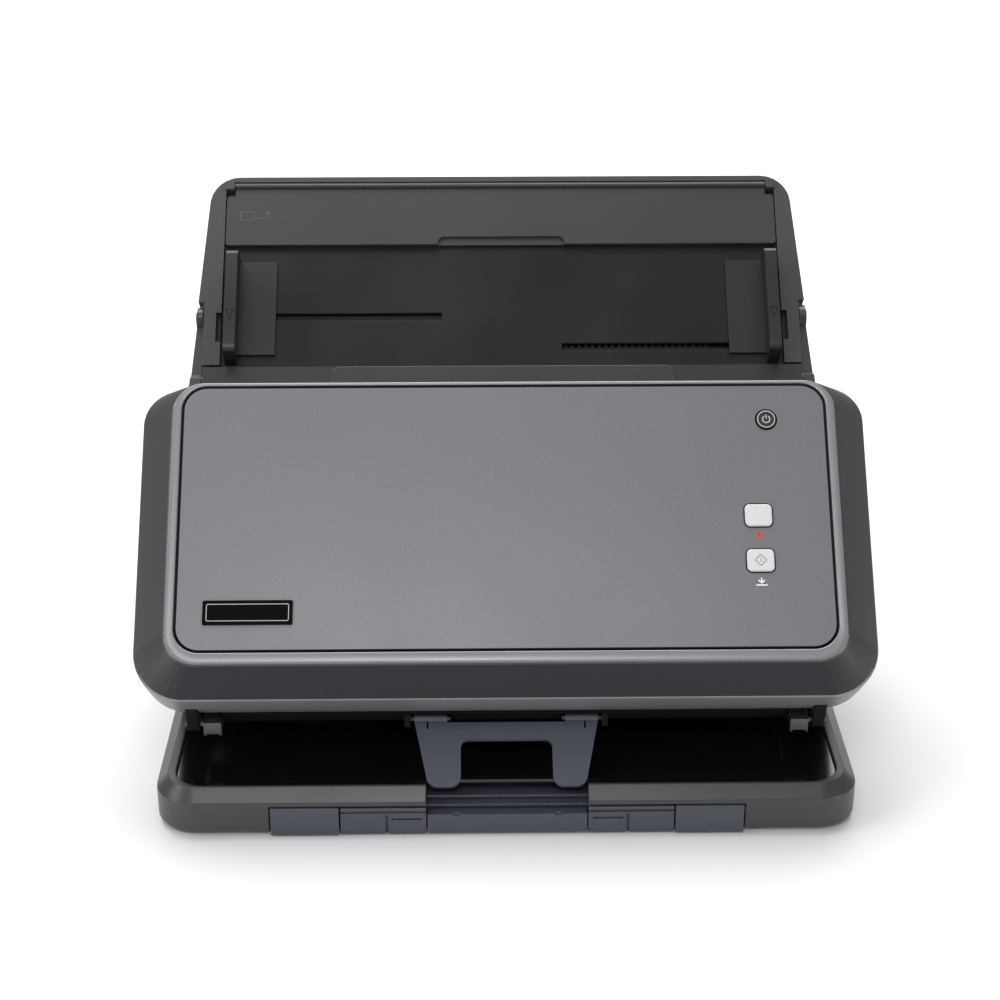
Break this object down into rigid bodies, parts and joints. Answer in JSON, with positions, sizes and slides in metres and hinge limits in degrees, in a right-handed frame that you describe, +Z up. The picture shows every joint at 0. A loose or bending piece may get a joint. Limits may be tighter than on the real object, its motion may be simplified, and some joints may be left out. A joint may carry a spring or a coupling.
{
  "type": "sheet fed document scanner",
  "caption": "Desktop sheet fed scanner with an opening sloped cover, folding paper chute with sliding guides, stop flap and telescoping exit tray.",
  "frame": {"origin": "centre of the bounding box's base, on the table", "axes": "+Z up, -Y towards the user (the front panel faces -Y and up), +X to the user's right"},
  "size_m": [0.3206, 0.2236, 0.2306],
  "materials": {
    "shell": "satin dark grey",
    "panel": "fine metallic grey satin",
    "bed": "gloss black",
    "inner": "fine textured black",
    "smoke": "smooth blue grey",
    "key": "satin light grey",
    "rubber": "matt black",
    "steel": "zinc plated",
    "nylon": "natural",
    "board": "green solder mask",
    "glass": "polished"
  },
  "bodies": {
    "base": {"base_shell": "shell", "bottom_plate": "inner", "output_bed": "bed", "foot_front_left": "rubber", "foot_front_right": "rubber", "foot_rear_left": "rubber", "foot_rear_right": "rubber", "rear_housing": "shell", "exit_beam": "inner", "hinge_bracket_left": "steel", "hinge_bracket_right": "steel", "main_board": "board", "power_socket": "inner", "usb_socket": "steel", "paper_guide": "inner", "side_frame_left": "steel", "side_frame_right": "steel", "scan_module_lower": "inner", "scan_glass_lower": "glass", "drive_motor": "steel", "feed_throat": "inner", "chute_arm_left": "shell", "chute_arm_right": "shell"},
    "tray_outer": {"exit_tray_outer": "smoke"},
    "tray_middle": {"exit_tray_middle": "smoke"},
    "tray_inner": {"exit_tray_inner": "smoke"},
    "flap": {"stop_flap": "smoke"},
    "cover": {"cover_shell": "shell", "front_panel": "panel", "badge": "bed", "cover_liner": "inner", "scan_module_upper": "inner", "scan_glass_upper": "glass", "button_board": "board", "cover_lip": "shell"},
    "power_key": {"power_button": "inner"},
    "cancel_key": {"cancel_button": "key"},
    "scan_key": {"scan_button": "key"},
    "separation": {"separation_roller": "rubber"},
    "transport_pressure": {"transport_idler": "rubber"},
    "exit_pressure": {"exit_idler": "rubber"},
    "feed_drive": {"feed_roller": "rubber", "feed_gear": "nylon"},
    "transport_drive": {"transport_roller": "rubber", "transport_gear": "nylon"},
    "exit_drive": {"exit_roller": "rubber", "exit_gear": "nylon"},
    "small_idler": {"idler_gear_small": "nylon"},
    "large_idler": {"idler_gear_large": "nylon"},
    "motor_shaft": {"motor_pinion": "steel"},
    "chute": {"chute_tray": "shell", "chute_back": "inner"},
    "extension": {"chute_extension": "shell"},
    "left_guide": {"guide_left": "inner"},
    "right_guide": {"guide_right": "inner"},
    "guide_wheel": {"guide_pinion": "nylon"}
  },
  "joints": [
    {"name": "tray_outer_slide", "type": "slide", "parent": "base", "child": "tray_outer", "axis": [0, -1, 0], "range_m": [0, 0.055]},
    {"name": "tray_middle_slide", "type": "slide", "parent": "tray_outer", "child": "tray_middle", "axis": [0, -1, 0], "range_m": [0, 0.052]},
    {"name": "tray_inner_slide", "type": "slide", "parent": "tray_middle", "child": "tray_inner", "axis": [0, -1, 0], "range_m": [0, 0.05]},
    {"name": "flap_hinge", "type": "hinge", "parent": "base", "child": "flap", "pos_m": [0, -0.07488, 0.0366], "axis": [1, 0, 0], "range_deg": [-60, 0]},
    {"name": "cover_hinge", "type": "hinge", "parent": "base", "child": "cover", "pos_m": [0, -0.07808, 0.037], "axis": [1, 0, 0], "range_deg": [0, 75]},
    {"name": "power_press", "type": "slide", "parent": "cover", "child": "power_key", "axis": [0, 0.7314, -0.682], "range_m": [0, 0.0006], "stiffness_N_per_m": 500, "springref_m": -0.001},
    {"name": "cancel_press", "type": "slide", "parent": "cover", "child": "cancel_key", "axis": [0, 0.7314, -0.682], "range_m": [0, 0.0007], "stiffness_N_per_m": 500, "springref_m": -0.001},
    {"name": "scan_press", "type": "slide", "parent": "cover", "child": "scan_key", "axis": [0, 0.7314, -0.682], "range_m": [0, 0.0007], "stiffness_N_per_m": 500, "springref_m": -0.001},
    {"name": "separation_spin", "type": "hinge", "parent": "cover", "child": "separation", "pos_m": [0, -0.00605, 0.12883], "axis": [1, 0, 0], "continuous": true},
    {"name": "transport_idler_spin", "type": "hinge", "parent": "cover", "child": "transport_pressure", "pos_m": [0, -0.02851, 0.10328], "axis": [1, 0, 0], "continuous": true},
    {"name": "exit_idler_spin", "type": "hinge", "parent": "cover", "child": "exit_pressure", "pos_m": [0, -0.06261, 0.06672], "axis": [1, 0, 0], "continuous": true},
    {"name": "transport_spin", "type": "hinge", "parent": "base", "child": "transport_drive", "pos_m": [0, -0.01732, 0.09285], "axis": [1, 0, 0], "continuous": true},
    {"name": "feed_spin", "type": "hinge", "parent": "base", "child": "feed_drive", "pos_m": [0, 0.00587, 0.11772], "axis": [1, 0, 0], "continuous": true},
    {"name": "exit_spin", "type": "hinge", "parent": "base", "child": "exit_drive", "pos_m": [0, -0.05142, 0.05628], "axis": [1, 0, 0], "continuous": true},
    {"name": "small_idler_spin", "type": "hinge", "parent": "base", "child": "small_idler", "pos_m": [0, -0.0024, 0.10218], "axis": [1, 0, 0], "continuous": true},
    {"name": "large_idler_spin", "type": "hinge", "parent": "base", "child": "large_idler", "pos_m": [0, -0.02653, 0.06726], "axis": [1, 0, 0], "continuous": true},
    {"name": "motor_spin", "type": "hinge", "parent": "base", "child": "motor_shaft", "pos_m": [0, -0.00267, 0.06469], "axis": [1, 0, 0], "continuous": true},
    {"name": "chute_hinge", "type": "hinge", "parent": "base", "child": "chute", "pos_m": [0, 0.05762, 0.17592], "axis": [1, 0, 0], "range_deg": [0, 128]},
    {"name": "extension_hinge", "type": "hinge", "parent": "chute", "child": "extension", "pos_m": [0, 0.10103, 0.22711], "axis": [1, 0, 0], "range_deg": [-175, 0]},
    {"name": "left_guide_slide", "type": "slide", "parent": "chute", "child": "left_guide", "axis": [1, 0, 0], "range_m": [0, 0.092]},
    {"name": "right_guide_slide", "type": "slide", "parent": "chute", "child": "right_guide", "axis": [-1, 0, 0], "range_m": [0, 0.092]},
    {"name": "guide_wheel_spin", "type": "hinge", "parent": "chute", "child": "guide_wheel", "pos_m": [0, 0.05295, 0.16857], "axis": [0, -0.7071, 0.7071], "range_deg": [-880, 10]}
  ],
  "couplings": [
    {"joint": "feed_spin", "follows": "transport_spin", "ratio": 1},
    {"joint": "exit_spin", "follows": "transport_spin", "ratio": 1},
    {"joint": "small_idler_spin", "follows": "transport_spin", "ratio": -0.83333},
    {"joint": "large_idler_spin", "follows": "transport_spin", "ratio": -0.41667},
    {"joint": "motor_spin", "follows": "transport_spin", "ratio": 1.6667},
    {"joint": "right_guide_slide", "follows": "left_guide_slide", "ratio": 1},
    {"joint": "guide_wheel_spin", "follows": "left_guide_slide", "rad_per_m": -166.67}
  ]
}
